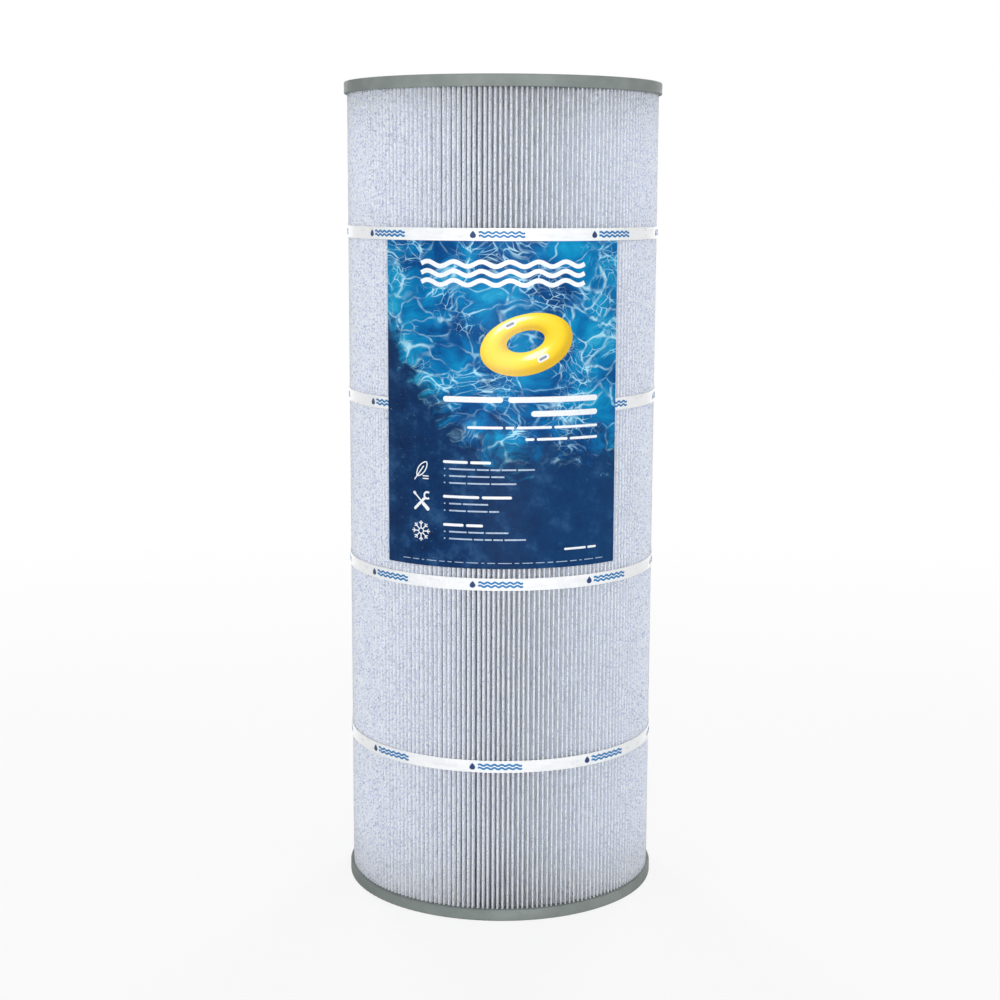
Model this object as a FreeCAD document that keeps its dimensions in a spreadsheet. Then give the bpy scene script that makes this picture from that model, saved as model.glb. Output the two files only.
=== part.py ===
"""A cylindrical pleated filter cartridge: two moulded end caps, one pleated sheet, a snap-together
core, four bands round the pleats and a printed card tucked under the top band.

Millimetres, +Z along the cartridge's axis, origin at the centre of the bottom face. The card is on
the front, towards -Y, and the sheet's seam and the bands' laps are at the back, towards +Y.
"""

import FreeCAD, Part
import math
import os
import re

import Sketcher

SIZES = {
    # end caps, in their own frame: outer face at z = 0, the pleats above
    "overall_length": 584.0,
    "cap_radius": 113.5,
    "rim_height": 8.2,
    "rim_rounding": 0.9,
    "land_width": 6.5,
    "face_recess": 1.0,
    "face_draft": 0.8,
    "port_radius": 38.1,
    "port_lead_in": 0.8,
    "bead_inner_radius": 42.0,
    "bead_outer_radius": 47.0,
    "collar_height": 14.0,
    "collar_radius": 44.0,
    "collar_foot_radius": 50.0,
    "potting_cover": 3.2,
    "pin_radius": 1.5,
    "outer_pin_circle": 104.0,
    "outer_pins": 24,
    "inner_pin_circle": 64.0,
    "inner_pins": 12,
    # pleated sheet
    "pleats": 196,
    "pleat_tip_radius": 111.2,
    "pleat_fold_radius": 57.6,
    "sheet_thickness": 0.5,
    "tip_half_width": 0.38,
    "seam_start": 0.05,
    "seam_end": 0.3,
    # core
    "core_sections": 4,
    "core_radius": 57.15,
    "core_bore_radius": 53.0,
    "spigot_radius": 55.0,
    "spigot_height": 5.0,
    "socket_clearance": 0.1,
    "window_columns": 16,
    "window_rows": 9,
    "window_width": 16.0,
    "window_rib": 3.6,
    "window_margin": 11.0,
    # bands
    "band_inner_radius": 111.3,
    "band_thickness": 0.5,
    "band_width": 8.5,
    "band_place_1": 479.5,
    "band_place_2": 363.1,
    "band_place_3": 241.9,
    "band_place_4": 112.4,
    "lap_angle": 9.0,
    # printed card
    "card_inner_radius": 112.05,
    "card_thickness": 0.35,
    "card_half_angle": 44.2,
    "card_bottom": 253.0,
    "card_top": 482.5,
    "lift_clearance": 0.25,
    "lift_margin_angle": 0.3,
}

QUARTER_TURN = FreeCAD.Rotation(FreeCAD.Vector(0, 0, 1), -90)
HALF_TURN_OVER = FreeCAD.Rotation(FreeCAD.Vector(1, 0, 0), 180)
HORIZONTAL_AXIS = -1
VERTICAL_AXIS = -2
ORIGIN_POINT = (-1, 1)
START, END, CENTRE = 1, 2, 3


def add_size_sheet(doc):
    """The spreadsheet of driving dimensions, one named cell each."""
    sheet = doc.addObject("Spreadsheet::Sheet", "sizes")
    for row, (name, value) in enumerate(SIZES.items(), start=1):
        sheet.set(f"A{row}", name)
        sheet.set(f"B{row}", str(value))
        sheet.setAlias(f"B{row}", name)
    doc.recompute()


def size(doc, name):
    """A cell's value."""
    return float(getattr(doc.sizes, name))


def evaluate(doc, expression):
    """The value of an expression in the sheet's own cells."""
    return float(doc.sizes.evalExpression(expression))


def bound(expression):
    """The expression as an object outside the sheet writes it, with the cells' names in full."""
    def full_name(word):
        return f"<<sizes>>.{word[0]}" if word[0] in SIZES else word[0]
    return re.sub(r"[a-z]\w*", full_name, expression)


def new_body(doc, label):
    body = doc.addObject("PartDesign::Body", label)
    body.Label = label
    return body


def new_sketch(body, name, plane):
    """A sketch on one of the body's own origin planes."""
    sketch = body.newObject("Sketcher::SketchObject", name)
    features = body.Origin.OriginFeatures
    sketch.AttachmentSupport = [next(f for f in features if f.Role == plane)]
    sketch.MapMode = "FlatFace"
    return sketch


def place_point(sketch, element, point, expressions):
    """Hold a point of the sketch at two coordinates, each bound to the sheet."""
    axes = (("DistanceX", VERTICAL_AXIS), ("DistanceY", HORIZONTAL_AXIS))
    for (kind, zero_axis), expression in zip(axes, expressions):
        value = evaluate(sketch.Document, expression)
        if abs(value) < 1e-9:
            sketch.addConstraint(Sketcher.Constraint("PointOnObject", element, point, zero_axis))
            continue
        if value > 0:
            ends = (*ORIGIN_POINT, element, point)
            signed = expression
        else:
            ends = (element, point, *ORIGIN_POINT)
            signed = f"-({expression})"
        index = sketch.addConstraint(Sketcher.Constraint(kind, *ends, abs(value)))
        sketch.setExpression(f"Constraints[{index}]", bound(signed))


def polygon(sketch, corners):
    """A closed outline of straight lines through corners, each a pair of expressions."""
    doc = sketch.Document
    points = [FreeCAD.Vector(evaluate(doc, x), evaluate(doc, y), 0) for x, y in corners]
    first = sketch.GeometryCount
    count = len(points)
    for i, point in enumerate(points):
        sketch.addGeometry(Part.LineSegment(point, points[(i + 1) % count]), False)
    for i in range(count):
        following = first + (i + 1) % count
        sketch.addConstraint(Sketcher.Constraint("Coincident", first + i, END, following, START))
    for i, corner in enumerate(corners):
        place_point(sketch, first + i, START, corner)


def rectangle(sketch, left, right, bottom, top):
    polygon(sketch, [(left, bottom), (right, bottom), (right, top), (left, top)])


def revolve(body, sketch, name, angle="360"):
    """Turn a profile about the body's Z axis, half of the angle to each side of its plane."""
    turned = body.newObject("PartDesign::Revolution", name)
    turned.Profile = sketch
    turned.ReferenceAxis = (sketch, ["V_Axis"])
    turned.Midplane = True
    turned.setExpression("Angle", bound(angle))
    sketch.Document.recompute()
    return turned


def polar_pattern(body, feature, name, count):
    pattern = body.newObject("PartDesign::PolarPattern", name)
    pattern.Originals = [feature]
    z_axis = next(f for f in body.Origin.OriginFeatures if f.Role == "Z_Axis")
    pattern.Axis = (z_axis, [""])
    pattern.Angle = 360
    pattern.setExpression("Occurrences", bound(count))
    body.Tip = pattern
    body.Document.recompute()
    return pattern


def require_cut(body, volume_before):
    """A pocket that points away from the solid cuts nothing and reports no error."""
    if body.Shape.Volume > volume_before - 1.0:
        raise RuntimeError(f"{body.Label}: a pocket removed nothing")


def pin_pockets(body, name, circle, count):
    """Round pockets left by the mould's pins, down to the ends of the pleats."""
    doc = body.Document
    before = body.Shape.Volume
    sketch = new_sketch(body, f"{name}_sketch", "XY_Plane")
    centre = FreeCAD.Vector(evaluate(doc, circle), 0, 0)
    radius = size(doc, "pin_radius")
    sketch.addGeometry(Part.Circle(centre, FreeCAD.Vector(0, 0, 1), radius), False)
    place_point(sketch, 0, CENTRE, (circle, "0"))
    index = sketch.addConstraint(Sketcher.Constraint("Radius", 0, radius))
    sketch.setExpression(f"Constraints[{index}]", bound("pin_radius"))
    pocket = body.newObject("PartDesign::Pocket", name)
    pocket.Profile = sketch
    pocket.Reversed = True
    pocket.setExpression("Length", bound("potting_cover"))
    doc.recompute()
    polar_pattern(body, pocket, f"{name}_pattern", count)
    require_cut(body, before)


def end_cap(doc, label):
    """A cast urethane cap: flat rim land, sunk face, seal bead round the port and inner collar."""
    body = new_body(doc, label)
    profile = new_sketch(body, f"{label}_profile", "XZ_Plane")
    polygon(
        profile,
        [
            ("port_radius + port_lead_in", "face_recess"),
            ("bead_inner_radius", "face_recess"),
            ("bead_inner_radius + face_draft", "0"),
            ("bead_outer_radius - face_draft", "0"),
            ("bead_outer_radius", "face_recess"),
            ("cap_radius - land_width - face_draft", "face_recess"),
            ("cap_radius - land_width", "0"),
            ("cap_radius", "0"),
            ("cap_radius", "rim_height"),
            ("collar_foot_radius", "rim_height"),
            ("collar_radius", "collar_height"),
            ("port_radius", "collar_height"),
            ("port_radius", "face_recess + port_lead_in"),
        ],
    )
    revolve(body, profile, f"{label}_disc")
    pin_pockets(body, f"{label}_outer_pins", "outer_pin_circle", "outer_pins")
    pin_pockets(body, f"{label}_inner_pins", "inner_pin_circle", "inner_pins")
    rim = size(doc, "cap_radius")
    edges = [
        f"Edge{i}"
        for i, edge in enumerate(body.Shape.Edges, start=1)
        if isinstance(edge.Curve, Part.Circle) and abs(edge.Curve.Radius - rim) < 1e-6
    ]
    base = body.Tip
    rounding = body.newObject("PartDesign::Fillet", f"{label}_rounding")
    rounding.Base = (base, edges)
    rounding.setExpression("Radius", bound("rim_rounding"))
    body.Tip = rounding
    return body


def polar(radius, angle, sideways=0.0):
    """The point at a radius on the ray at an angle, moved sideways across that ray."""
    cosine, sine = math.cos(angle), math.sin(angle)
    return FreeCAD.Vector(radius * cosine - sideways * sine, radius * sine + sideways * cosine, 0)


class Pleats:
    """The corrugation: an outer tip at each half pitch, an inner fold at each whole pitch."""

    def __init__(self, doc):
        self.count = int(size(doc, "pleats"))
        self.pitch = 2 * math.pi / self.count
        self.half_sheet = size(doc, "sheet_thickness") / 2
        self.tip_half = size(doc, "tip_half_width")
        self.tip_centre = size(doc, "pleat_tip_radius") - self.tip_half - self.half_sheet
        quarter = self.pitch / 4
        self.fold_centre = (size(doc, "pleat_fold_radius") + self.half_sheet) / (1 - quarter)
        self.fold_half = quarter * self.fold_centre

    def outline(self, side):
        """One surface of the sheet as a closed wire: side is 1 outside and -1 inside."""
        tip = self.tip_half + side * self.half_sheet
        fold = self.fold_half - side * self.half_sheet
        edges = []
        for i in range(self.count):
            at_tip = (i + 0.5) * self.pitch
            at_fold = (i + 1) * self.pitch
            tip_start = polar(self.tip_centre, at_tip, -tip)
            tip_top = polar(self.tip_centre + tip, at_tip)
            tip_end = polar(self.tip_centre, at_tip, tip)
            fold_start = polar(self.fold_centre, at_fold, -fold)
            fold_bottom = polar(self.fold_centre - fold, at_fold)
            fold_end = polar(self.fold_centre, at_fold, fold)
            next_tip = polar(self.tip_centre, at_tip + self.pitch, -tip)
            edges.append(Part.Arc(tip_start, tip_top, tip_end).toShape())
            edges.append(Part.LineSegment(tip_end, fold_start).toShape())
            edges.append(Part.Arc(fold_start, fold_bottom, fold_end).toShape())
            edges.append(Part.LineSegment(fold_end, next_tip).toShape())
        return Part.Wire(edges)

    def valley_corners(self, start, end):
        """Four corners between two neighbouring pleats at the back, at two shares of the depth."""
        at_fold = math.pi / 2
        tip = self.tip_half + self.half_sheet
        fold = self.fold_half - self.half_sheet
        corners = []
        for side in (-1, 1):
            outer = polar(self.tip_centre, at_fold + side * self.pitch / 2, -side * tip)
            inner = polar(self.fold_centre, at_fold, side * fold)
            corners.append([outer + (inner - outer) * share for share in (start, end)])
        left, right = corners
        return [*left, *reversed(right)]


def extruded_feature(doc, label, face, bottom, top):
    """A Part::Feature made by extruding a flat face between two heights."""
    feature = doc.addObject("Part::Feature", label)
    feature.Label = label
    feature.Shape = face.extrude(FreeCAD.Vector(0, 0, top - bottom))
    feature.Placement = FreeCAD.Placement(FreeCAD.Vector(0, 0, bottom), FreeCAD.Rotation())
    return feature


def pleated_media(doc):
    """One sheet folded all the way round, with its ends cast into the caps.

    A pattern of fused pleats would be hundreds of bodies, so the section is drawn in one wire.
    """
    pleats = Pleats(doc)
    outlines = [pleats.outline(1), pleats.outline(-1)]
    section = Part.makeFace(outlines, "Part::FaceMakerBullseye")
    cover = size(doc, "potting_cover")
    return extruded_feature(doc, "pleated_media", section, cover, size(doc, "overall_length") - cover)


def media_seam(doc):
    """The bead of adhesive that joins the sheet's two end pleats, filling one valley at the back."""
    corners = Pleats(doc).valley_corners(size(doc, "seam_start"), size(doc, "seam_end"))
    section = Part.Face(Part.makePolygon([*corners, corners[0]]))
    rim = size(doc, "rim_height")
    return extruded_feature(doc, "media_seam", section, rim, size(doc, "overall_length") - rim)


SECTION_PITCH = "(overall_length - 2 * potting_cover - spigot_height) / core_sections"


def core_section(doc, number):
    """One moulded length of perforated core: a socket below, a spigot above."""
    label = f"core_section_{number}"
    body = new_body(doc, label)
    profile = new_sketch(body, f"{label}_profile", "XZ_Plane")
    polygon(
        profile,
        [
            ("spigot_radius + socket_clearance", "0"),
            ("core_radius", "0"),
            ("core_radius", SECTION_PITCH),
            ("spigot_radius", SECTION_PITCH),
            ("spigot_radius", f"{SECTION_PITCH} + spigot_height"),
            ("core_bore_radius", f"{SECTION_PITCH} + spigot_height"),
            ("core_bore_radius", "spigot_height + socket_clearance"),
            ("spigot_radius + socket_clearance", "spigot_height + socket_clearance"),
        ],
    )
    revolve(body, profile, f"{label}_wall")
    before = body.Shape.Volume
    windows = new_sketch(body, f"{label}_window_sketch", "XZ_Plane")
    row_pitch = f"({SECTION_PITCH} - 2 * window_margin + window_rib) / window_rows"
    for row in range(int(size(doc, "window_rows"))):
        bottom = f"window_margin + {row} * {row_pitch}"
        top = f"{bottom} + {row_pitch} - window_rib"
        rectangle(windows, "-window_width / 2", "window_width / 2", bottom, top)
    column = body.newObject("PartDesign::Pocket", f"{label}_windows")
    column.Profile = windows
    column.setExpression("Length", bound("core_radius + window_rib"))
    doc.recompute()
    polar_pattern(body, column, f"{label}_window_pattern", "window_columns")
    require_cut(body, before)
    height = f"potting_cover + {number - 1} * {SECTION_PITCH}"
    body.setExpression("Placement.Base.z", bound(height))
    return body


def band_lap(body, name):
    """The band's free end, welded over its start at the back."""
    sketch = new_sketch(body, f"{name}_sketch", "XZ_Plane")
    start = "band_inner_radius + band_thickness / 2"
    end = "band_inner_radius + 2 * band_thickness"
    rectangle(sketch, f"-({end})", f"-({start})", "0", "band_width")
    revolve(body, sketch, name, "lap_angle")


def plain_ring(body, name):
    sketch = new_sketch(body, f"{name}_profile", "XZ_Plane")
    outer = "band_inner_radius + band_thickness"
    rectangle(sketch, "band_inner_radius", outer, "0", "band_width")
    revolve(body, sketch, name)


def lifted_outline(sketch, base_radius, lift_radius):
    """A circle that rises over the card's edges along tangents, as a pulled film does."""
    doc = sketch.Document
    base = evaluate(doc, base_radius)
    lift = evaluate(doc, lift_radius)
    lifted = math.radians(evaluate(doc, "card_half_angle + lift_margin_angle"))
    tangent = lifted + math.acos(base / lift)
    first = sketch.GeometryCount
    zero, up = FreeCAD.Vector(0, 0, 0), FreeCAD.Vector(0, 0, 1)
    base_arc = Part.ArcOfCircle(Part.Circle(zero, up, base), tangent, 2 * math.pi - tangent)
    lift_arc = Part.ArcOfCircle(Part.Circle(zero, up, lift), -lifted, lifted)
    rise = Part.LineSegment(polar(lift, lifted), polar(base, tangent))
    fall = Part.LineSegment(polar(base, -tangent), polar(lift, -lifted))
    for element in (base_arc, lift_arc, rise, fall):
        sketch.addGeometry(element, False)
    base_arc, lift_arc, rise, fall = range(first, first + 4)
    for joined in (
        Sketcher.Constraint("Coincident", base_arc, CENTRE, *ORIGIN_POINT),
        Sketcher.Constraint("Coincident", lift_arc, CENTRE, *ORIGIN_POINT),
        Sketcher.Constraint("Coincident", lift_arc, END, rise, START),
        Sketcher.Constraint("Coincident", lift_arc, START, fall, END),
        Sketcher.Constraint("Tangent", base_arc, START, rise, END),
        Sketcher.Constraint("Tangent", base_arc, END, fall, START),
        Sketcher.Constraint("Symmetric", lift_arc, START, lift_arc, END, HORIZONTAL_AXIS),
    ):
        sketch.addConstraint(joined)
    radius = sketch.addConstraint(Sketcher.Constraint("Radius", base_arc, base))
    sketch.setExpression(f"Constraints[{radius}]", bound(base_radius))
    angle = "(card_half_angle + lift_margin_angle) * 1 deg"
    end = (f"({lift_radius}) * cos({angle})", f"({lift_radius}) * sin({angle})")
    place_point(sketch, lift_arc, END, end)


def lifted_ring(body, name):
    """The top band, which holds the card's upper edge against the pleats."""
    sketch = new_sketch(body, f"{name}_outline", "XY_Plane")
    lifted_bore = "card_inner_radius + card_thickness + lift_clearance"
    lifted_outline(sketch, "band_inner_radius", lifted_bore)
    lifted_outline(sketch, "band_inner_radius + band_thickness", f"{lifted_bore} + band_thickness")
    pad = body.newObject("PartDesign::Pad", name)
    pad.Profile = sketch
    pad.setExpression("Length", bound("band_width"))
    body.Document.recompute()


def band(doc, number):
    """A plastic film strap round the pleats, number 1 at the top."""
    label = f"band_{number}"
    body = new_body(doc, label)
    if number == 1:
        lifted_ring(body, f"{label}_strap")
    else:
        plain_ring(body, f"{label}_strap")
    band_lap(body, f"{label}_lap")
    body.Placement = FreeCAD.Placement(FreeCAD.Vector(0, 0, 0), QUARTER_TURN)
    body.setExpression("Placement.Base.z", bound(f"band_place_{number} - band_width / 2"))
    return body


def label_card(doc):
    """The printed card, curved round the front, over band 2 and under band 1."""
    body = new_body(doc, "label_card")
    sketch = new_sketch(body, "label_card_profile", "XZ_Plane")
    outer = "card_inner_radius + card_thickness"
    rectangle(sketch, "card_inner_radius", outer, "0", "card_top - card_bottom")
    revolve(body, sketch, "label_card_sheet", "2 * card_half_angle")
    body.Placement = FreeCAD.Placement(FreeCAD.Vector(0, 0, 0), QUARTER_TURN)
    body.setExpression("Placement.Base.z", bound("card_bottom"))
    return body


def build(doc):
    """Every separate piece of the cartridge."""
    add_size_sheet(doc)
    bottom_cap = end_cap(doc, "bottom_end_cap")
    top_cap = end_cap(doc, "top_end_cap")
    top_cap.Placement = FreeCAD.Placement(FreeCAD.Vector(0, 0, 0), HALF_TURN_OVER)
    top_cap.setExpression("Placement.Base.z", bound("overall_length"))
    pieces = [bottom_cap, top_cap, pleated_media(doc), media_seam(doc)]
    pieces += [core_section(doc, i + 1) for i in range(SIZES["core_sections"])]
    pieces += [band(doc, i + 1) for i in range(4)]
    pieces.append(label_card(doc))
    doc.recompute()
    return pieces


def write(doc, pieces):
    """Check every object and every shape, then write one STEP file for each piece."""
    failed = [o.Name for o in doc.Objects if {"Invalid", "Error"} & set(o.State)]
    if failed:
        raise RuntimeError(f"failed objects: {failed}")
    for piece in pieces:
        if piece.Shape.isNull() or not piece.Shape.isValid():
            raise RuntimeError(f"{piece.Label} has no valid shape")
    os.makedirs("parts", exist_ok=True)
    for piece in pieces:
        piece.Shape.exportStep(f"parts/{piece.Label}.step")
        box = piece.Shape.BoundBox
        print(f"{piece.Label}: {len(piece.Shape.Solids)} solid, {piece.Shape.Volume:.0f} mm3,"
              f" z {box.ZMin:.2f} to {box.ZMax:.2f}, y {box.YMin:.2f} to {box.YMax:.2f}")


document = FreeCAD.newDocument("filter_cartridge")
write(document, build(document))
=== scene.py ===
"""The finish of a pleated filter cartridge: cast urethane caps, pleated polyester, film bands with
a generic printed mark, and a printed card of pool water.

Metres, +Z along the cartridge, the card on the front towards -Y.
"""

import math
import random

import bpy
from mathutils import Matrix, Vector

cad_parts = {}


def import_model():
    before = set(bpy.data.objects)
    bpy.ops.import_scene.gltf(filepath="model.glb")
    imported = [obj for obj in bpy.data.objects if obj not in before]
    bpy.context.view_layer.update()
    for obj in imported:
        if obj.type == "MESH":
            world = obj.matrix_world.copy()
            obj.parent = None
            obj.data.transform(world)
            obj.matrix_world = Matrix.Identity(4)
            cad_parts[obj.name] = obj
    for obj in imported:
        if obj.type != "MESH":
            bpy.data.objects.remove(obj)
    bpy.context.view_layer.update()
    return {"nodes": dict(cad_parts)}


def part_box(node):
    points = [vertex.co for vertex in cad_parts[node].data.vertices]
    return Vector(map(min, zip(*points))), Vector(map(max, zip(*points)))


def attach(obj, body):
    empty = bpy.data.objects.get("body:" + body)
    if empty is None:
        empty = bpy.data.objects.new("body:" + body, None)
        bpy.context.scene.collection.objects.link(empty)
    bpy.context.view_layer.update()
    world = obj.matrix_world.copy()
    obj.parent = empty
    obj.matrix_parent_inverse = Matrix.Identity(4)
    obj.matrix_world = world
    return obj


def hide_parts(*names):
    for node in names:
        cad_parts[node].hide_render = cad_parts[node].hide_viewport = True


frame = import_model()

MM = 0.001
CARTRIDGE, LABEL = "cartridge", "label"
BANDS = (1, 2, 3, 4)

# The camera stands in front, a little above the middle, and looks slightly down.
CAMERA_PLACE = (0.0, -1.3548, 0.5053)
CAMERA_PITCH = math.radians(9.34)
CAMERA_ROLL = math.radians(0.218)
CAMERA_YAW = math.radians(0.045)
CAMERA_LENS_MM = 66.72
CAMERA_SENSOR_MM = 36.0
CAMERA_REACH = 50.0

# Each lamp's name, place, width and height, and watts.
LAMPS = (
    ("lamp_front", (0.04, -2.9, 0.75), (0.8, 1.4), 47.0),
    ("lamp_top", (0.0, -0.3, 2.6), (1.4, 1.4), 10.0),
    ("lamp_left", (-2.0, -1.0, 1.1), (0.8, 1.6), 3.0),
    ("lamp_right", (2.0, -1.0, 1.1), (0.8, 1.6), 3.0),
    ("lamp_back_left", (-1.1, 2.5, 1.3), (0.8, 1.4), 26.0),
    ("lamp_back_right", (1.1, 2.5, 1.3), (0.8, 1.4), 26.0),
)

# The strength of the light that the white surroundings cast evenly on the object.
EVEN_LIGHT = 0.29

# Where the floor is seen, it is mixed with plain white: a share of white near the object, and all
# white from further off.
FLOOR_HALF = 40.0
FLOOR_GREY = 0.86
WHITE_NEAR = 0.84
FADE_FROM, FADE_TO = 0.4, 2.0

# The pleated sheet, as in the CAD model.
PLEATS = 196
SHEET_THICKNESS = 0.5 * MM
TIP_HALF_WIDTH = 0.38 * MM
CORE_GAP = 0.45 * MM

# How finely the sheet is divided: round a tip, round a fold, and from one grip to the next.
TIP_STEPS = 4
FOLD_STEPS = 2
SPAN_STEPS = 2

# A soft sheet sways between its tip and its fold: shares of its depth, and of the sway there.
FLANK_BENDS = ((0.04, 0.8), (0.105, -0.95), (0.32, 0.7), (0.7, -0.5))
FLANK_SWAY = 1.3 * MM
SWAY_SHARES = (0.9, 1.1)

# How far the pleats stray at most: sideways all along, sideways between two grips, and inwards.
PLEAT_WANDER = 0.16 * MM
PLEAT_BOW = 0.2 * MM
TIP_DROP = 0.22 * MM
PLEAT_SEED = 7

# What is printed lies this far off the surface below it, and is this thick.
INK_GAP = 0.02 * MM
INK_THICKNESS = 0.05 * MM

# How finely printed shapes are divided: a bar's length in millimetres, its round end, one wave.
BAR_STEP = 1.5
END_STEPS = 4
WAVE_STEPS = 16

# Half the width of a bar's very tip, in millimetres, so that no face there is empty.
BAR_TIP = 0.02

# The bands' marks: how many there are, the angle between them, and the angle from the front to
# the mark nearest to it.
MARKS_PER_BAND = 8
MARK_PITCH = math.radians(43.3)
MARK_OFFSET = math.radians(-2.2)

# The top band stays lifted this far past the card's edge.
CARD_EDGE_MARGIN = math.radians(0.3)


def srgb(red, green, blue):
    """A colour given as 8-bit sRGB values, in linear light."""
    def linear(value):
        value /= 255
        return value / 12.92 if value <= 0.04045 else ((value + 0.055) / 1.055) ** 2.4
    return (linear(red), linear(green), linear(blue), 1.0)


class Shader:
    """A node material, built call by call; most methods return an output socket."""

    def __init__(self, name, **surface):
        self.material = bpy.data.materials.new(name)
        self.material.use_nodes = True
        self.tree = self.material.node_tree
        self.surface = self.tree.nodes["Principled BSDF"]
        for socket, value in surface.items():
            self.set(socket.replace("_", " ").title().replace("Ior", "IOR"), value)

    def set(self, socket, value):
        """Give one of the surface's own inputs a value or a link."""
        self.put(self.surface.inputs[socket], value)

    def put(self, socket, value):
        """Give an input a value, or link it when the value is another node's output."""
        if isinstance(value, bpy.types.NodeSocket):
            self.tree.links.new(value, socket)
        else:
            socket.default_value = value

    def node(self, kind, inputs=None, **settings):
        """A new node, with its inputs by name or number and its settings by name."""
        node = self.tree.nodes.new(kind)
        for name, value in settings.items():
            setattr(node, name, value)
        for name, value in (inputs or {}).items():
            self.put(node.inputs[name], value)
        return node

    def math(self, operation, *values, clamp=False):
        inputs = dict(enumerate(values))
        return self.node("ShaderNodeMath", inputs, operation=operation, use_clamp=clamp).outputs[0]

    def place(self):
        """The point on the object, in metres."""
        return self.node("ShaderNodeTexCoord").outputs["Object"]

    def split(self, vector):
        outputs = self.node("ShaderNodeSeparateXYZ", {0: vector}).outputs
        return outputs["X"], outputs["Y"], outputs["Z"]

    def join(self, x, y, z=0.0):
        return self.node("ShaderNodeCombineXYZ", {"X": x, "Y": y, "Z": z}).outputs[0]

    def scaled(self, vector, x, y, z):
        inputs = {0: vector, 1: (x, y, z)}
        return self.node("ShaderNodeVectorMath", inputs, operation="MULTIPLY").outputs[0]

    def noise(self, vector, scale, detail=2.0, roughness=0.5, distortion=0.0):
        inputs = {"Vector": vector, "Scale": scale, "Detail": detail, "Roughness": roughness,
                  "Distortion": distortion}
        return self.node("ShaderNodeTexNoise", inputs).outputs["Fac"]

    def noise_vector(self, vector, scale, detail=2.0):
        inputs = {"Vector": vector, "Scale": scale, "Detail": detail}
        return self.node("ShaderNodeTexNoise", inputs).outputs["Color"]

    def cell_edge(self, vector, scale):
        """The distance to the nearest border between Voronoi cells."""
        inputs = {"Vector": vector, "Scale": scale}
        node = self.node("ShaderNodeTexVoronoi", inputs, feature="DISTANCE_TO_EDGE")
        return node.outputs["Distance"]

    def between(self, value, low, high, to_low=0.0, to_high=1.0):
        """Map a range of values to another, smoothly and clamped."""
        inputs = {"Value": value, "From Min": low, "From Max": high, "To Min": to_low,
                  "To Max": to_high}
        node = self.node("ShaderNodeMapRange", inputs, interpolation_type="SMOOTHSTEP")
        return node.outputs["Result"]

    def mix(self, factor, first, second):
        """A colour between two others. A mix node's colour sockets have numbers of their own."""
        inputs = {0: factor, 6: first, 7: second}
        return self.node("ShaderNodeMix", inputs, data_type="RGBA").outputs[2]

    def ramp(self, factor, stops):
        """A colour from a row of stops, each a position and a colour."""
        node = self.node("ShaderNodeValToRGB", {"Fac": factor})
        elements = node.color_ramp.elements
        while len(elements) < len(stops):
            elements.new(1.0)
        for element, (position, colour) in zip(elements, stops):
            element.position = position
            element.color = colour
        return node.outputs["Color"]

    def bump(self, height, distance, strength, below=None):
        """A bumped normal, laid over another one where that is given."""
        inputs = {"Height": height, "Distance": distance, "Strength": strength}
        if below is not None:
            inputs["Normal"] = below
        return self.node("ShaderNodeBump", inputs).outputs["Normal"]

    def angle(self, vector):
        """The angle round the cartridge's axis, from the front."""
        x, y, _ = self.split(vector)
        return self.math("ARCTAN2", x, self.math("MULTIPLY", y, -1.0))

    def radius(self, vector):
        """The distance from the cartridge's axis."""
        x, y, _ = self.split(vector)
        squares = self.math("ADD", self.math("MULTIPLY", x, x), self.math("MULTIPLY", y, y))
        return self.math("SQRT", squares)


# ---------------------------------------------------------------- materials

def urethane():
    """Cast grey-green urethane: satin, faintly mottled, with pale specks and tiny bubbles."""
    s = Shader("end_cap_urethane", roughness=0.6, specular_ior_level=0.15)
    place = s.place()
    mottle = s.noise(place, 55.0, 5.0, 0.6)
    cloud = s.noise(s.scaled(place, 1.0, 1.0, 3.0), 14.0, 3.0)
    colour = s.mix(s.between(cloud, 0.35, 0.65), srgb(129, 137, 135), srgb(142, 149, 147))
    colour = s.mix(s.between(mottle, 0.35, 0.7, 0.0, 0.35), colour, srgb(108, 117, 114))
    specks = s.cell_edge(place, 420.0)
    colour = s.mix(s.between(specks, 0.0, 0.06, 0.25, 0.0), colour, srgb(150, 156, 152))
    s.set("Base Color", colour)
    s.set("Roughness", s.between(mottle, 0.3, 0.7, 0.55, 0.72))
    bubbles = s.noise(place, 900.0, 2.0)
    wavy = s.bump(cloud, 0.0012, 0.35)
    s.set("Normal", s.bump(bubbles, 0.00012, 0.35, wavy))
    return s.material


def polyester(tip_radius):
    """Spun-bonded polyester: cool white felt of short fibres; painted light deep in its pleats."""
    s = Shader("pleated_polyester", roughness=0.88, specular_ior_level=0.1, sheen_weight=1.0,
               sheen_roughness=0.6)
    place = s.place()
    fibres = s.noise(s.scaled(place, 1.0, 1.0, 0.6), 1500.0, 3.0, 0.7, 0.6)
    clumps = s.noise(place, 760.0, 3.0, 0.7)
    cloud = s.noise(place, 60.0, 3.0)
    colour = s.ramp(clumps, [
        (0.38, srgb(158, 169, 199)), (0.46, srgb(215, 224, 250)), (0.56, srgb(241, 247, 255))])
    colour = s.mix(s.between(fibres, 0.48, 0.6, 0.0, 0.7), colour, srgb(250, 253, 255))
    colour = s.mix(s.between(cloud, 0.3, 0.7, 0.0, 0.12), colour, srgb(200, 208, 230))
    # Painted light: a whiter, bluer colour deep between the pleats stands in for light bounced
    # there.
    near_tips, deep_down = tip_radius - 1.0 * MM, tip_radius - 5.0 * MM
    painted_valley_light = s.between(s.radius(place), deep_down, near_tips, 0.85, 0.0)
    s.set("Base Color", s.mix(painted_valley_light, colour, srgb(232, 245, 255)))
    creases = s.noise(place, 220.0, 2.0)
    loose = s.bump(creases, 0.0022, 0.8)
    rough = s.bump(clumps, 0.0008, 0.8, loose)
    s.set("Normal", s.bump(fibres, 0.00025, 0.7, rough))
    return s.material


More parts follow.
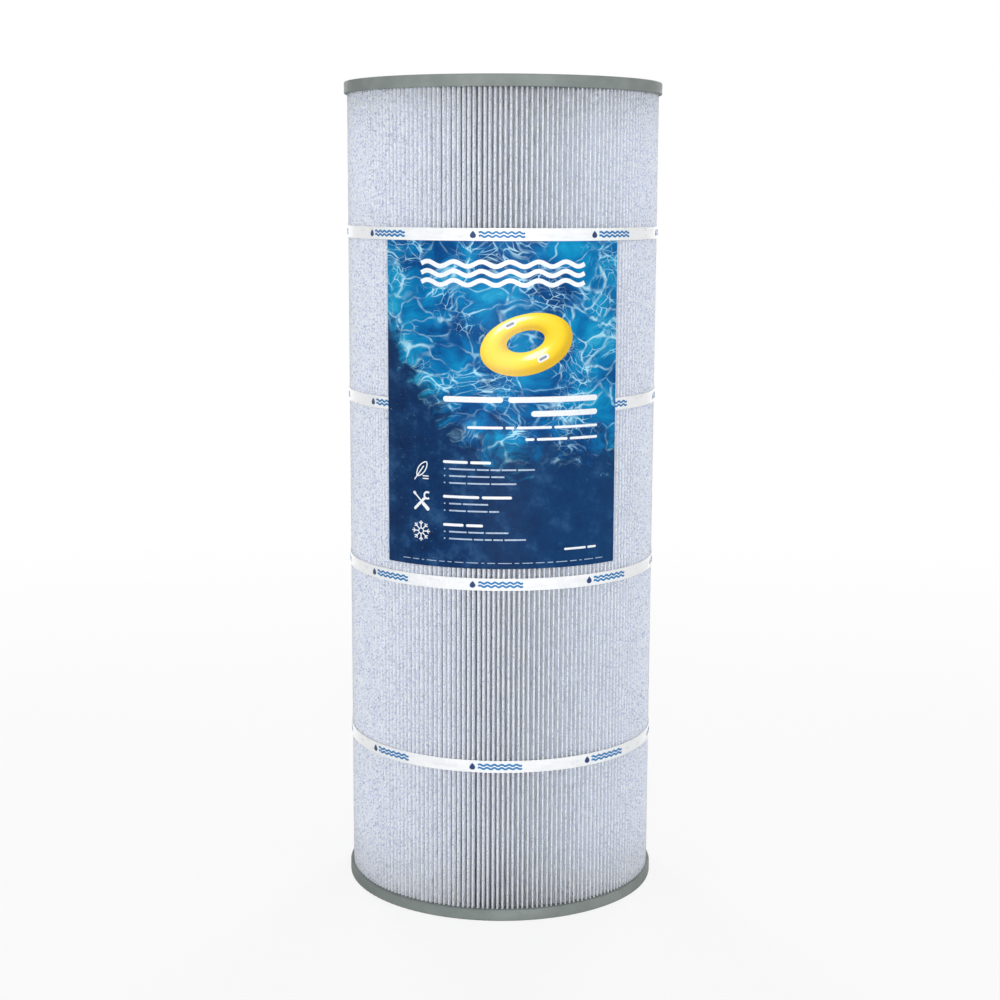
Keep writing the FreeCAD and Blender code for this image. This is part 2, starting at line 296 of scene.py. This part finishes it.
def core_plastic():
    """Off-white moulded ABS with a light mould grain."""
    s = Shader("core_plastic", roughness=0.5)
    place = s.place()
    cloud = s.noise(place, 30.0, 3.0)
    s.set("Base Color", s.mix(s.between(cloud, 0.3, 0.7), srgb(214, 216, 210), srgb(226, 227, 222)))
    s.set("Normal", s.bump(s.noise(place, 1400.0, 2.0), 0.00006, 0.5))
    return s.material


def film():
    """White strap film, half glossy, that shows the pleats' tips beneath as faint ripples."""
    s = Shader("band_film", roughness=0.32, specular_ior_level=0.5, sheen_weight=1.0,
               sheen_roughness=0.5)
    place = s.place()
    ripple = s.math("COSINE", s.math("MULTIPLY", s.angle(place), float(PLEATS)))
    stretch = s.noise(s.scaled(place, 1.0, 1.0, 4.0), 90.0, 3.0)
    tint = s.between(stretch, 0.3, 0.7)
    s.set("Base Color", s.mix(tint, srgb(238, 241, 244), srgb(246, 248, 250)))
    s.set("Roughness", s.between(stretch, 0.3, 0.7, 0.26, 0.4))
    waves = s.bump(ripple, 0.00006, 0.5)
    s.set("Normal", s.bump(stretch, 0.0004, 0.25, waves))
    return s.material


def adhesive():
    """Hot-melt bead: off-white, waxy and lumpy."""
    s = Shader("seam_adhesive", roughness=0.42)
    place = s.place()
    lumps = s.noise(place, 260.0, 3.0)
    s.set("Base Color", s.mix(s.between(lumps, 0.3, 0.7), srgb(222, 220, 208), srgb(238, 237, 228)))
    s.set("Normal", s.bump(lumps, 0.0008, 0.7))
    return s.material


def ink(name, first, second):
    """A printed ink, very slightly uneven where it took to the surface."""
    s = Shader(name, roughness=0.4, specular_ior_level=0.4)
    place = s.place()
    patchy = s.noise(place, 700.0, 3.0)
    s.set("Base Color", s.mix(s.between(patchy, 0.35, 0.7), first, second))
    s.set("Roughness", s.between(patchy, 0.3, 0.7, 0.34, 0.46))
    return s.material


def pool_water(s, sideways, height):
    """The card's picture: sunlit pool water above, fading to plain navy below.

    Its two coordinates are in millimetres, from the middle of the card's lower edge.
    """
    flat = s.join(sideways, height)
    drift = s.noise_vector(flat, 0.022, 3.0)
    centred = s.node("ShaderNodeVectorMath", {0: drift, 1: (0.5, 0.5, 0.5)}, operation="SUBTRACT")
    warp = s.scaled(centred.outputs[0], 56.0, 44.0, 0.0)
    warped = s.node("ShaderNodeVectorMath", {0: flat, 1: warp}, operation="ADD").outputs[0]
    warped = s.scaled(warped, 0.8, 1.25, 1.0)

    swell = s.noise(flat, 0.02, 2.0)
    chop = s.noise(warped, 0.07, 4.0, 0.65)
    depth = s.math("ADD", s.math("MULTIPLY", swell, 0.62), s.math("MULTIPLY", chop, 0.38))
    water = s.ramp(depth, [
        (0.36, srgb(0, 50, 106)), (0.44, srgb(0, 77, 139)), (0.51, srgb(0, 113, 173)),
        (0.58, srgb(8, 142, 193)), (0.67, srgb(54, 176, 214))])

    large = s.between(s.cell_edge(warped, 0.055), 0.0, 0.06, 1.0, 0.0)
    small = s.between(s.cell_edge(warped, 0.15), 0.0, 0.07, 1.0, 0.0)
    patches = s.between(s.noise(flat, 0.03, 2.0), 0.44, 0.6)
    faint = s.between(depth, 0.42, 0.58, 0.25, 1.0)
    web = s.math("ADD", s.math("MULTIPLY", large, faint), s.math("MULTIPLY", small, patches))
    broken = s.between(s.noise(warped, 0.12, 3.0), 0.36, 0.6, 0.1, 1.0)
    web = s.math("MULTIPLY", web, broken)
    glitter = s.between(s.noise(warped, 0.5, 3.0, 0.7), 0.58, 0.72)
    glitter = s.math("MULTIPLY", glitter, s.math("MULTIPLY", patches, 0.65))
    web = s.math("ADD", web, glitter, clamp=True)
    water = s.mix(s.math("MULTIPLY", web, 0.9), water, srgb(182, 230, 248))

    murk = s.noise(flat, 0.05, 4.0, 0.65)
    navy = s.ramp(murk, [
        (0.32, srgb(4, 35, 76)), (0.52, srgb(10, 51, 96)), (0.72, srgb(44, 86, 131))])
    navy = s.mix(s.between(sideways, -30.0, 80.0, 0.0, 0.45), navy, srgb(18, 68, 118))
    flecks = s.between(s.noise(warped, 0.4, 3.0, 0.7), 0.62, 0.74, 0.0, 0.5)
    flecks = s.math("MULTIPLY", flecks, s.between(sideways, -64.0, -20.0, 1.0, 0.25))
    navy = s.mix(flecks, navy, srgb(128, 158, 192))

    slant = s.math("MAXIMUM", s.math("SUBTRACT", -20.0, sideways), 0.0)
    edge = s.math("SUBTRACT", height, s.math("MULTIPLY", slant, 1.25))
    edge = s.math("ADD", edge, s.math("MULTIPLY", s.math("SUBTRACT", chop, 0.5), 90.0))
    return s.mix(s.between(edge, 66.0, 100.0), navy, water)


def printed_card(card_radius, card_bottom):
    """Coated card: the picture on its outer face, plain paper on its back and its cut edges."""
    s = Shader("printed_card", roughness=0.5, specular_ior_level=0.1)
    place = s.place()
    angle = s.angle(place)
    sideways = s.math("MULTIPLY", angle, card_radius / MM)
    height = s.math("MULTIPLY", s.math("SUBTRACT", s.split(place)[2], card_bottom), 1 / MM)
    picture = pool_water(s, sideways, height)
    paper_up_to, picture_from = card_radius - 0.12 * MM, card_radius - 0.08 * MM
    outer = s.between(s.radius(place), paper_up_to, picture_from)
    s.set("Base Color", s.mix(outer, srgb(236, 236, 232), picture))
    ripple = s.math("COSINE", s.math("MULTIPLY", angle, float(PLEATS)))
    pressed = s.bump(ripple, 0.00002, 0.4)
    s.set("Normal", s.bump(s.noise(place, 40.0, 2.0), 0.0012, 0.18, pressed))
    return s.material


def ring_vinyl():
    """The printed swim ring's yellow, shaded by the amount of light on each point of its tube."""
    s = Shader("swim_ring_ink", roughness=0.4)
    light = s.node("ShaderNodeAttribute", attribute_name="light").outputs["Fac"]
    grain = s.noise(s.place(), 900.0, 2.0)
    light = s.math("ADD", light, s.math("MULTIPLY", s.math("SUBTRACT", grain, 0.5), 0.12))
    s.set("Base Color", s.ramp(light, [
        (0.0, srgb(150, 108, 10)), (0.3, srgb(214, 168, 12)), (0.55, srgb(248, 212, 24)),
        (0.82, srgb(253, 230, 70)), (1.0, srgb(255, 252, 214))]))
    return s.material


# ---------------------------------------------------------------- meshes

def add_object(name, data):
    """A new object in the scene: a mesh, a lamp or a camera."""
    thing = bpy.data.objects.new(name, data)
    bpy.context.scene.collection.objects.link(thing)
    return thing


def new_piece(name, vertices, faces, material, body, smooth=True):
    """A mesh piece that rides a body, with its material."""
    mesh = bpy.data.meshes.new(name)
    mesh.from_pydata(vertices, [], faces)
    mesh.polygons.foreach_set("use_smooth", [smooth] * len(faces))
    mesh.materials.append(material)
    mesh.update()
    piece = add_object(name, mesh)
    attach(piece, body)
    return piece


def polar(radius, angle, sideways=0.0):
    """A point at a radius on the ray at an angle, moved sideways across that ray."""
    cosine, sine = math.cos(angle), math.sin(angle)
    return (radius * cosine - sideways * sine, radius * sine + sideways * cosine)


def half_turn(steps):
    """Angles from a quarter turn back to a quarter turn forward."""
    return [math.pi * (step / steps - 0.5) for step in range(steps + 1)]


class Pleats:
    """One pleated sheet whose pleats stray slightly, held where bands and caps grip them."""

    def __init__(self):
        low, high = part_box("pleated_media")
        self.bottom, self.top = low.z, high.z
        self.pitch = math.tau / PLEATS
        self.half_sheet = SHEET_THICKNESS / 2
        self.tip_centre = high.y - TIP_HALF_WIDTH - self.half_sheet
        fold_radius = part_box("core_section_1")[1].x + CORE_GAP
        self.fold_centre = (fold_radius + self.half_sheet) / (1 - self.pitch / 4)
        self.fold_half = self.pitch / 4 * self.fold_centre
        middles = [sum(corner.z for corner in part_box(f"band_{i}")) / 2 for i in reversed(BANDS)]
        self.grips = [self.bottom, *middles, self.top]
        # The two pleats beside the seam stay straight, and all the others stray freely.
        beside_seam = {PLEATS // 4 - 1, PLEATS // 4}
        self.freedom = [0.0 if i in beside_seam else 1.0 for i in range(PLEATS)]
        chance = random.Random(PLEAT_SEED)
        self.wander = [chance.uniform(-1, 1) * PLEAT_WANDER for _ in range(PLEATS)]
        self.drop = [chance.uniform(0, 1) ** 2 * TIP_DROP for _ in range(PLEATS)]
        spans = len(self.grips) - 1
        self.bow = [[chance.uniform(-1, 1) * PLEAT_BOW for _ in range(spans)]
                    for _ in range(PLEATS)]
        self.sway = [chance.uniform(*SWAY_SHARES) * FLANK_SWAY for _ in range(PLEATS)]

    def flank(self, start, end, angle, sway):
        """Points between a tip and a fold, which bend one way and then the other."""
        sine, cosine = math.sin(angle), math.cos(angle)
        points = []
        for share, bend in FLANK_BENDS:
            aside = sway * bend
            x = start[0] + (end[0] - start[0]) * share - aside * sine
            y = start[1] + (end[1] - start[1]) * share + aside * cosine
            points.append((x, y))
        return points

    def section(self, side, span, share):
        """One surface's points at a share of a span's height: side is 1 outside, -1 inside."""
        tip = TIP_HALF_WIDTH + side * self.half_sheet
        fold = self.fold_half - side * self.half_sheet
        swell = math.sin(math.pi * share)
        tips, folds = [], []
        for i in range(PLEATS):
            freedom = self.freedom[i]
            stray = (self.wander[i] + self.bow[i][span] * swell) * freedom
            centre = self.tip_centre - self.drop[i] * freedom * (0.5 + 0.5 * swell)
            at_tip = (i + 0.5) * self.pitch
            at_fold = (i + 1) * self.pitch
            tips.append([polar(centre + tip * math.cos(turn), at_tip, stray + tip * math.sin(turn))
                         for turn in half_turn(TIP_STEPS)])
            folds.append([polar(self.fold_centre - fold * math.cos(turn), at_fold,
                                fold * math.sin(turn)) for turn in half_turn(FOLD_STEPS)])
        points = []
        for i in range(PLEATS):
            following = (i + 1) % PLEATS
            at_fold = (i + 1) * self.pitch
            points += tips[i]
            sway = self.sway[i] * self.freedom[i]
            points += self.flank(tips[i][-1], folds[i][0], at_fold, sway)
            points += folds[i]
            sway = self.sway[following] * self.freedom[following]
            points += reversed(self.flank(tips[following][0], folds[i][-1], at_fold, sway))
        return points

    def levels(self):
        """The heights of the sections: each with its span and the share of that span's height."""
        spans = list(zip(self.grips, self.grips[1:]))
        places = [(span, step / SPAN_STEPS)
                  for span in range(len(spans)) for step in range(SPAN_STEPS)]
        places.append((len(spans) - 1, 1.0))
        return [(span, share, spans[span][0] + (spans[span][1] - spans[span][0]) * share)
                for span, share in places]

    def build(self, material):
        """The sheet's outer and inner surfaces, closed along both ends."""
        levels = self.levels()
        count = PLEATS * (TIP_STEPS + FOLD_STEPS + 2 + 2 * len(FLANK_BENDS))
        vertices, faces = [], []
        for side in (1, -1):
            for span, share, height in levels:
                vertices += [(x, y, height) for x, y in self.section(side, span, share)]
        inside = count * len(levels)
        for i in range(count):
            j = (i + 1) % count
            for level in range(len(levels) - 1):
                a, b = level * count, (level + 1) * count
                faces.append((a + i, a + j, b + j, b + i))
                faces.append((inside + a + j, inside + a + i, inside + b + i, inside + b + j))
            last = (len(levels) - 1) * count
            faces.append((j, i, inside + i, inside + j))
            faces.append((last + i, last + j, inside + last + j, inside + last + i))
        piece = new_piece("media_pleats", vertices, faces, material, CARTRIDGE)
        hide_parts("pleated_media")


# ---------------------------------------------------------------- printing

class Print:
    """Flat shapes in millimetres, across and up, laid on the curved surface of a card or band."""

    def __init__(self):
        self.points = []
        self.faces = []

    def strip(self, pairs, closed=False):
        """A strip of quads between two edges, given as pairs of points."""
        first = len(self.points)
        for pair in pairs:
            self.points += pair
        count = len(pairs)
        for i in range(count if closed else count - 1):
            a = first + 2 * i
            b = first + 2 * ((i + 1) % count)
            self.faces.append((a, b, b + 1, a + 1))

    def stroke(self, path, width, closed=False):
        """A line of even width along a path."""
        pairs = []
        count = len(path)
        for i, point in enumerate(path):
            before = path[(i - 1) % count] if closed or i else point
            after = path[(i + 1) % count] if closed or i < count - 1 else point
            along = (Vector(after) - Vector(before)).normalized()
            across = Vector((along.y, -along.x)) * width / 2
            pairs.append((Vector(point) + across, Vector(point) - across))
        self.strip(pairs, closed)

    def fill(self, path):
        """A filled outline that its middle point can see all of."""
        first = len(self.points)
        middle = sum((Vector(point) for point in path), Vector((0, 0))) / len(path)
        self.points += [middle, *(Vector(point) for point in path)]
        for i in range(len(path)):
            self.faces.append((first, first + 1 + i, first + 1 + (i + 1) % len(path)))

    def bar(self, start, end, width):
        """A straight bar with round ends that reach the two points."""
        start, end = Vector(start), Vector(end)
        length = (end - start).length
        along = (end - start) / length
        across = Vector((along.y, -along.x))
        radius = min(width, length) / 2
        turns = [math.pi / 2 * i / END_STEPS for i in range(END_STEPS + 1)]
        round_end = [(radius * (1 - math.cos(turn)), radius * math.sin(turn)) for turn in turns]
        steps = max(1, math.ceil((length - 2 * radius) / BAR_STEP))
        middle = [(radius + (length - 2 * radius) * i / steps, radius) for i in range(1, steps)]
        other_end = [(length - place, half) for place, half in reversed(round_end)]
        pairs = []
        for place, half in round_end + middle + other_end:
            point = start + along * place
            aside = across * (max(half, BAR_TIP) * width / (2 * radius))
            pairs.append((point + aside, point - aside))
        self.strip(pairs)

    def dot(self, centre, radius):
        """A bar so short that it is round."""
        self.bar((centre[0] - radius, centre[1]), (centre[0] + radius, centre[1]), 2 * radius)

    def wave(self, left, right, height, rise, length, width):
        """A sine wave of even width."""
        steps = math.ceil((right - left) / (length / WAVE_STEPS))
        path = []
        for i in range(steps + 1):
            across = left + (right - left) * i / steps
            path.append((across, height + rise * math.sin(math.tau * (across - left) / length)))
        self.stroke(path, width)

    def words(self, left, right, height, width, lengths, gap=None):
        """A line of text-like bars: lengths are the shares of its words, gap is between them."""
        gap = gap or width * 0.9
        room = (right - left) - gap * (len(lengths) - 1)
        place = left
        for share in lengths:
            end = place + room * share / sum(lengths)
            self.bar((place, height), (end, height), width)
            place = end + gap

    def lay(self, name, surface, material, body, slot):
        """Lay the shapes on a surface: a function from across, up in mm to a point."""
        vertices = [surface(across, up) for across, up in self.points]
        piece = new_piece(name, vertices, self.faces, material, body, smooth=False)
        solid = piece.modifiers.new("ink", "SOLIDIFY")
        solid.thickness = INK_THICKNESS
        solid.offset = 1.0
        return piece


def round_surface(radius_at, height_of_zero, turn=0.0):
    """A surface wound about the axis: radius_at gives its radius at an angle from the front."""
    mean = radius_at(0.0)

    def place(across, up):
        angle = across * MM / mean + turn
        radius = radius_at(angle) + INK_GAP
        return (radius * math.sin(angle), -radius * math.cos(angle), height_of_zero + up * MM)
    return place


def band_radius(number):
    """The outer radius of a band at an angle; the top band rises over the card's edges."""
    base = -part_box("band_2")[0].y
    if number != 1:
        return lambda angle: base
    lifted = -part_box("band_1")[0].y
    card_low, card_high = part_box("label_card")
    lifted_to = math.asin(card_high.x / -card_low.y) + CARD_EDGE_MARGIN
    base_from = lifted_to + math.acos(base / lifted)

    def radius(angle):
        angle = abs(angle)
        if angle < lifted_to:
            return lifted
        if angle < base_from:
            return base / math.cos(base_from - angle)
        return base
    return radius


def mark_drop():
    """The mark's drop, pointed at its top."""
    middle, half_width, half_height, points = -15.4, 2.7, 2.4, 20
    drop = Print()
    path = []
    for i in range(points):
        turn = math.tau * i / points
        path.append((middle - half_width * math.sin(turn) * math.sin(turn / 2),
                     half_height * math.cos(turn)))
    drop.fill(path)
    return drop


def mark_waves():
    """The mark's two rows of small waves, beside the drop."""
    waves = Print()
    for height in (-1.15, 1.15):
        waves.wave(-11.4, 19.4, height, rise=0.55, length=5.13, width=1.35)
    return waves


def band_marks(blue, navy):
    """A generic mark repeated along each band: a drop and a run of small waves."""
    drop, waves = mark_drop(), mark_waves()
    for number in BANDS:
        low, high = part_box(f"band_{number}")
        radius_at = band_radius(number)
        for i in range(MARKS_PER_BAND):
            turn = (i - MARKS_PER_BAND // 2) * MARK_PITCH + MARK_OFFSET
            surface = round_surface(radius_at, (low.z + high.z) / 2, turn)
            drop.lay(f"band_{number}_drop_{i}", surface, navy, CARTRIDGE, "band_film")
            waves.lay(f"band_{number}_waves_{i}", surface, blue, CARTRIDGE, "band_film")


def leaf_icon(page, x, y):
    """A leaning leaf on its stem, with two short lines beside the stem."""
    half_length, half_width, line, points = 6.2, 2.7, 0.8, 28
    lean = math.radians(52)
    outline = []
    for i in range(points):
        turn = math.tau * i / points
        along = half_length * math.cos(turn)
        across = half_width * math.sin(turn) * abs(math.sin(turn)) ** 0.4
        outline.append((x + 1.0 + along * math.cos(lean) - across * math.sin(lean),
                        y + 1.2 + along * math.sin(lean) + across * math.cos(lean)))
    page.stroke(outline, line, closed=True)
    page.bar((x - 5.0, y - 6.6), (x + 2.6, y + 3.4), line)
    for height in (y - 3.6, y - 5.4):
        page.bar((x + 1.6, height), (x + 6.4, height), line)


def tools_icon(page, x, y):
    """A screwdriver crossed with an open spanner."""
    page.bar((x - 5.6, y + 5.6), (x + 1.0, y - 0.8), 1.1)
    page.bar((x - 6.4, y + 6.4), (x - 4.4, y + 4.6), 2.0)
    page.bar((x + 0.6, y - 0.6), (x + 6.0, y - 5.8), 2.6)
    page.bar((x - 5.8, y - 5.8), (x + 3.0, y + 2.8), 1.9)
    jaw_radius, jaw_steps = 2.3, 14
    jaw = []
    for i in range(jaw_steps + 1):
        turn = math.radians(95 + 260 * i / jaw_steps - 45)
        jaw.append((x + 4.6 + jaw_radius * math.cos(turn), y + 4.4 + jaw_radius * math.sin(turn)))
    page.stroke(jaw, 1.3)


def snowflake_icon(page, x, y):
    """Eight forked spokes round a small ring."""
    centre = Vector((x, y))
    spokes, hub, fork, reach = 8, 1.8, 4.6, 7.2
    branch_length, branch_lean = 2.2, 0.8
    for spoke in range(spokes):
        turn = math.tau * spoke / spokes
        direction = Vector((math.cos(turn), math.sin(turn)))
        page.bar(centre + direction * hub, centre + direction * reach, 0.75)
        for lean in (-branch_lean, branch_lean):
            branch = Vector((math.cos(turn + lean), math.sin(turn + lean))) * branch_length
            page.bar(centre + direction * fork, centre + direction * fork + branch, 0.65)
    ring_radius, ring_points = 1.9, 16
    turns = [math.tau * i / ring_points for i in range(ring_points)]
    ring = [(x + ring_radius * math.cos(turn), y + ring_radius * math.sin(turn)) for turn in turns]
    page.stroke(ring, 0.7, closed=True)


def card_print(surface, white, pale):
    """Plain pictograms and text-like bars: the card carries no lettering and no name."""
    waves = Print()
    for row in range(3):
        waves.wave(-57.0, 58.0, 194.5 + 6.2 * row, rise=1.6, length=19.17, width=3.1)
    waves.lay("card_waves", surface, white, LABEL, "printed_card")

    title = Print()
    title_size, subtitle_size = 3.9, 1.8
    title.words(-40.7, 69.6, 116.2, title_size, (7, 11))
    title.words(20.0, 69.6, 106.6, title_size, (9,))
    title.words(-23.5, 69.8, 97.2, subtitle_size, (8, 2, 8, 11))
    title.words(16.0, 69.8, 89.2, subtitle_size, (2, 7, 7))
    title.lay("card_title_bars", surface, white, LABEL, "printed_card")

    text, fine = Print(), Print()
    heading_left, dot_middle, line_left, line_pitch = -40.8, -39.6, -36.4, 4.8
    heading_size, line_size, footnote_size, dot_radius = 1.9, 1.05, 0.5, 0.55
    # Each block: its heading's height and right end, then each line's right end and words.
    blocks = (
        (73.2, -7.2, ((22.9, (11, 5, 4, 6, 7)), (2.0, (8, 10, 6)), (10.2, (7, 9, 10)))),
        (49.3, 7.2, ((-9.0, (6, 12)), (-1.5, (7, 8, 4)))),
        (29.8, -12.5, ((5.0, (8, 7, 10)), (17.0, (10, 4, 3, 4, 9)))),
    )
    for top, heading_end, lines in blocks:
        text.words(heading_left, heading_end, top, heading_size, (5, 4))
        for row, (line_end, lengths) in enumerate(lines):
            height = top - line_pitch * (row + 1)
            fine.dot((dot_middle, height), dot_radius)
            fine.words(line_left, line_end, height, line_size, lengths)
    text.words(44.4, 70.0, 12.6, 1.5, (7, 3))
    text.lay("card_text_bars", surface, white, LABEL, "printed_card")
    footnote = (6, 5, 2, 7, 4, 3, 6, 8, 2, 5, 9, 3, 7, 6, 4, 8, 5, 2, 7, 6)
    fine.words(-73.0, 76.0, 4.0, footnote_size, footnote, gap=2.0)
    fine.lay("card_fine_bars", surface, pale, LABEL, "printed_card")

    icons = Print()
    leaf_icon(icons, -58.0, 66.0)
    tools_icon(icons, -57.4, 44.6)
    snowflake_icon(icons, -57.8, 24.0)
    icons.lay("card_icons", surface, white, LABEL, "printed_card")


def swim_ring(surface, vinyl, white, grey):
    """A plain yellow swim ring seen at a slant, floating on the picture's water."""
    # In millimetres: its middle, half its width and height, the same for its hole, and how far the
    # hole lies off the middle.
    centre, outer, inner, hole_shift = (17.2, 153.4), (32.6, 20.4), (13.2, 7.0), (-0.6, 2.4)
    tilt = math.radians(14)
    light_from = Vector((-0.35, 0.62, 0.7)).normalized()
    around, across = 72, 10

    def at(share, turn):
        """The point at a share of the tube's width, from its inner edge to its outer one."""
        half_width = inner[0] + (outer[0] - inner[0]) * share
        half_height = inner[1] + (outer[1] - inner[1]) * share
        x = half_width * math.cos(turn) + hole_shift[0] * (1 - share)
        y = half_height * math.sin(turn) + hole_shift[1] * (1 - share)
        return Vector((centre[0] + x * math.cos(tilt) - y * math.sin(tilt),
                       centre[1] + x * math.sin(tilt) + y * math.cos(tilt)))

    def brightness(share, turn):
        """The light on the tube there: some from all round, more from one side, and a gleam."""
        lean = math.pi * (share - 0.5)
        normal = Vector((math.sin(lean) * math.cos(turn + tilt),
                         math.sin(lean) * math.sin(turn + tilt), math.cos(lean)))
        lit = max(0.0, normal.dot(light_from))
        return 0.34 + 0.42 * lit + 0.4 * lit ** 12

    page = Print()
    light = []
    for j in range(across):
        edges = ((j + 1) / across, j / across)
        pairs = []
        for i in range(around):
            turn = math.tau * i / around
            pairs.append([at(share, turn) for share in edges])
            light += [brightness(share, turn) for share in edges]
        page.strip(pairs, closed=True)
    piece = page.lay("card_swim_ring", surface, vinyl, LABEL, "printed_card")
    values = piece.data.attributes.new("light", "FLOAT", "POINT")
    values.data.foreach_set("value", light)

    handles, slots = Print(), Print()
    handle_half, handle_width = 4.4, 4.0
    slot_half, slot_width = 2.9, 1.7
    beside = 0.12
    for turn, share in ((math.radians(108), 0.66), (math.radians(292), 0.5)):
        middle = at(share, turn)
        along = (at(share, turn - beside) - at(share, turn + beside)).normalized()
        handles.bar(middle - along * handle_half, middle + along * handle_half, handle_width)
        slots.bar(middle - along * slot_half, middle + along * slot_half, slot_width)
    piece = handles.lay("card_ring_handles", surface, white, LABEL, "printed_card")
    piece.modifiers["ink"].thickness = 2 * INK_THICKNESS
    piece = slots.lay("card_ring_slots", surface, grey, LABEL, "printed_card")
    piece.modifiers["ink"].thickness = 3 * INK_THICKNESS


# ---------------------------------------------------------------- the set

def camera():
    """A camera that sees the object as the photo does."""
    data = bpy.data.cameras.new("camera")
    data.lens = CAMERA_LENS_MM
    data.sensor_width = CAMERA_SENSOR_MM
    data.clip_end = CAMERA_REACH
    holder = add_object("camera", data)
    turn = (Matrix.Rotation(CAMERA_YAW, 4, "Z")
            @ Matrix.Rotation(math.pi / 2 - CAMERA_PITCH, 4, "X")
            @ Matrix.Rotation(CAMERA_ROLL, 4, "Z"))
    holder.matrix_world = Matrix.Translation(CAMERA_PLACE) @ turn
    bpy.context.scene.camera = holder


def lights(target):
    """Soft lamps, all of them aimed at one point."""
    for name, place, (width, height), watts in LAMPS:
        data = bpy.data.lights.new(name, "AREA")
        data.shape = "RECTANGLE"
        data.size = width
        data.size_y = height
        data.energy = watts
        lamp = add_object(name, data)
        lamp.location = place
        lamp.rotation_euler = (target - Vector(place)).to_track_quat("-Z", "Y").to_euler()


def seen_directly(tree):
    """1 for rays from the camera and for what gloss and glass show."""
    seen = tree.nodes.new("ShaderNodeLightPath").outputs
    either = seen["Is Camera Ray"]
    for kind in ("Is Glossy Ray", "Is Transmission Ray"):
        larger = tree.nodes.new("ShaderNodeMath")
        larger.operation = "MAXIMUM"
        tree.links.new(either, larger.inputs[0])
        tree.links.new(seen[kind], larger.inputs[1])
        either = larger.outputs[0]
    return either


def floor():
    """A plain white floor that keeps the object's soft shadow and fades to white further off."""
    half = FLOOR_HALF
    mesh = bpy.data.meshes.new("floor")
    corners = [(-half, -half, 0), (half, -half, 0), (half, half, 0), (-half, half, 0)]
    mesh.from_pydata(corners, [], [(0, 1, 2, 3)])
    s = Shader("floor_paper", roughness=0.9, specular_ior_level=0.1)
    s.set("Base Color", (FLOOR_GREY, FLOOR_GREY, FLOOR_GREY, 1.0))
    white = s.node("ShaderNodeEmission", {"Color": (1, 1, 1, 1), "Strength": 1.0}).outputs[0]
    fade = s.between(s.radius(s.place()), FADE_FROM, FADE_TO, WHITE_NEAR, 1.0)
    share = s.math("MULTIPLY", seen_directly(s.tree), fade)
    blend = s.node("ShaderNodeMixShader", {0: share, 1: s.surface.outputs[0], 2: white})
    s.tree.links.new(blend.outputs[0], s.tree.nodes["Material Output"].inputs["Surface"])
    mesh.materials.append(s.material)
    add_object("floor", mesh)


def world():
    """White where it is seen, and a dimmer even light on the object."""
    setting = bpy.data.worlds.new("studio")
    setting.use_nodes = True
    bpy.context.scene.world = setting
    tree = setting.node_tree
    background = tree.nodes["Background"]
    background.inputs["Color"].default_value = (1.0, 1.0, 1.0, 1.0)
    strength = tree.nodes.new("ShaderNodeMapRange")
    strength.inputs["To Min"].default_value = EVEN_LIGHT
    strength.inputs["To Max"].default_value = 1.0
    tree.links.new(seen_directly(tree), strength.inputs["Value"])
    tree.links.new(strength.outputs["Result"], background.inputs["Strength"])


def finish_nodes(materials):
    """Give each CAD node the material that is listed for a part of its name."""
    for name, node in frame["nodes"].items():
        for part_of_name, material in materials.items():
            if part_of_name in name:
                node.data.materials.clear()
                node.data.materials.append(material)


def build():
    """The CAD nodes' materials, the pleated sheet, the prints, and the set round the object."""
    card_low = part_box("label_card")[0]
    card_radius, card_bottom = -card_low.y, card_low.z
    media = polyester(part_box("pleated_media")[1].y)
    finish_nodes({
        "end_cap": urethane(), "core_section": core_plastic(), "band": film(),
        "media_seam": adhesive(), "label_card": printed_card(card_radius, card_bottom),
        "pleated_media": media})
    Pleats().build(media)
    white = ink("white_ink", srgb(244, 247, 250), srgb(232, 238, 245))
    pale = ink("pale_ink", srgb(178, 196, 218), srgb(160, 180, 206))
    blue = ink("blue_ink", srgb(0, 112, 174), srgb(0, 126, 188))
    navy = ink("navy_ink", srgb(22, 52, 104), srgb(34, 66, 120))
    grey = ink("grey_ink", srgb(126, 134, 146), srgb(148, 156, 166))
    card_surface = round_surface(lambda angle: card_radius, card_bottom)
    card_print(card_surface, white, pale)
    swim_ring(card_surface, ring_vinyl(), white, grey)
    band_marks(blue, navy)
    camera()
    lights(target=Vector((0.0, 0.0, card_bottom)))
    world()
    floor()


build()
bpy.context.scene.view_settings.view_transform = "Standard"
